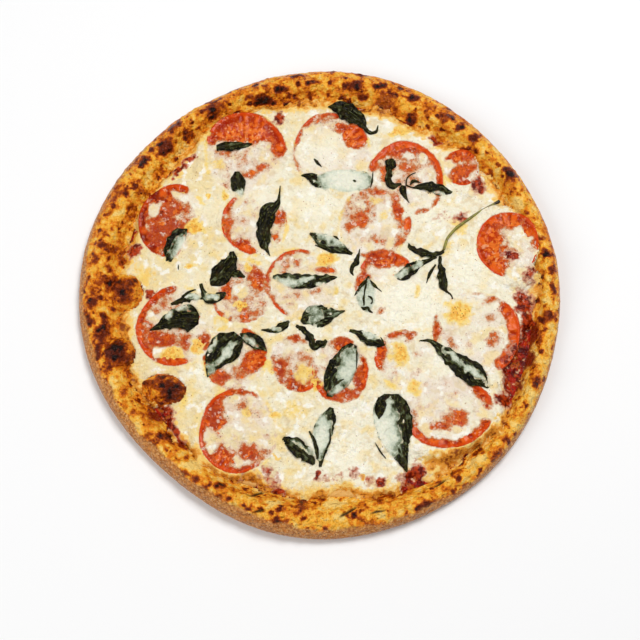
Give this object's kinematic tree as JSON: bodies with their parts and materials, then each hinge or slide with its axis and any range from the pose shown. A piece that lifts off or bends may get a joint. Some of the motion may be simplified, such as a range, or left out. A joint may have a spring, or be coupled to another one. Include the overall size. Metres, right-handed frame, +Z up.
{
  "type": "margherita pizza",
  "caption": "Whole baked margherita pizza with a blistered rim, tomato sauce, melted mozzarella, round tomato slices and wilted basil.",
  "frame": {"origin": "middle of the flat underside, on the surface that the pizza rests on", "axes": "+Z up out of the toppings, +Y away from the viewer, +X to the viewer's right"},
  "size_m": [0.302, 0.3059, 0.0186],
  "materials": {
    "crust": "baked dough, golden with brown and charred blisters, floury tan below, matt to slightly oily",
    "sauce": "reduced tomato sauce, dark red, wet",
    "cheese": "melted mozzarella, cream white with yellow and lightly browned patches, soft sheen",
    "tomato": "roasted tomato slice, orange-red flesh inside a red skin, wet",
    "basil": "wilted basil, blackish green, oily",
    "stalk": "basil stalk, olive green, dark at its cut end"
  },
  "bodies": {
    "root": {"crust": "crust", "sauce": "sauce", "cheese": "cheese", "tomato_slice_01": "tomato", "tomato_slice_02": "tomato", "tomato_slice_03": "tomato", "tomato_slice_04": "tomato", "tomato_slice_05": "tomato", "tomato_slice_06": "tomato", "tomato_slice_07": "tomato", "tomato_slice_08": "tomato", "tomato_slice_09": "tomato", "tomato_slice_10": "tomato", "tomato_slice_11": "tomato", "tomato_slice_12": "tomato", "tomato_slice_13": "tomato", "tomato_slice_14": "tomato", "tomato_slice_15": "tomato", "tomato_slice_16": "tomato", "tomato_slice_17": "tomato", "tomato_slice_18": "tomato", "tomato_slice_19": "tomato", "basil_leaf_01": "basil", "basil_leaf_02": "basil", "basil_leaf_03": "basil", "basil_leaf_04": "basil", "basil_leaf_05": "basil", "basil_leaf_06": "basil", "basil_leaf_07": "basil", "basil_leaf_08": "basil", "basil_leaf_09": "basil", "basil_leaf_10": "basil", "basil_leaf_11": "basil", "basil_leaf_12": "basil", "basil_leaf_13": "basil", "basil_leaf_14": "basil", "basil_leaf_15": "basil", "basil_leaf_16": "basil", "basil_leaf_17": "basil", "basil_leaf_18": "basil", "basil_leaf_19": "basil", "basil_leaf_20": "basil", "basil_leaf_21": "basil", "basil_leaf_22": "basil", "basil_leaf_23": "basil", "basil_leaf_24": "basil", "basil_leaf_25": "basil", "basil_leaf_26": "basil", "basil_leaf_27": "basil", "basil_leaf_28": "basil", "basil_leaf_29": "basil", "basil_leaf_30": "basil", "basil_leaf_31": "basil", "basil_leaf_32": "basil", "basil_stalk": "stalk"}
  },
  "joints": []
}
